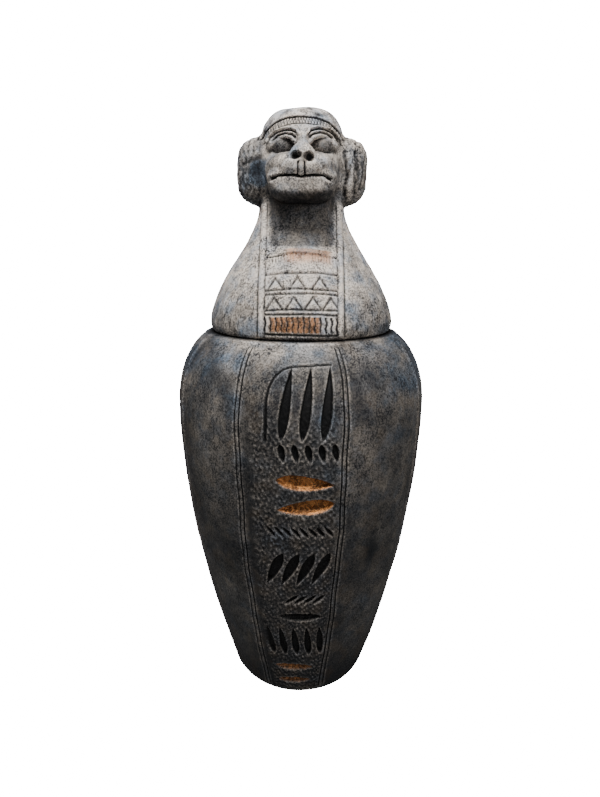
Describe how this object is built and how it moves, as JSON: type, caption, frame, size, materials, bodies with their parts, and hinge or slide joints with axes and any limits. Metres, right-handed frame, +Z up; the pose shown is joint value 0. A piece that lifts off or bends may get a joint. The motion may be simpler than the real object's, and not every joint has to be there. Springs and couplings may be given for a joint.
{
  "type": "canopic jar with a baboon-headed lid",
  "caption": "Tall hollow burial-style jar tapering to a flat foot, with scribed panel lines, rows of chiselled strokes and a lift-off lid carved as a baboon's head in a broad collar.",
  "frame": {"origin": "centre of the flat underside of the jar, on the surface it stands on", "axes": "+Z up along the jar's axis, -Y towards the baboon's face and the front panel, +X to the viewer's right"},
  "size_m": [0.1632, 0.1629, 0.3864],
  "materials": {
    "jar_stone": "cast stone painted blue-black, dry-brushed with scratchy grey-beige and rubbed with copper gold in some strokes",
    "lid_stone": "cast stone painted blue-black, dry-brushed heavily with grey-beige, with copper gold on the ribbed bands of the collar"
  },
  "bodies": {
    "root": {"jar_body": "jar_stone", "baboon_head_lid": "lid_stone"}
  },
  "joints": []
}
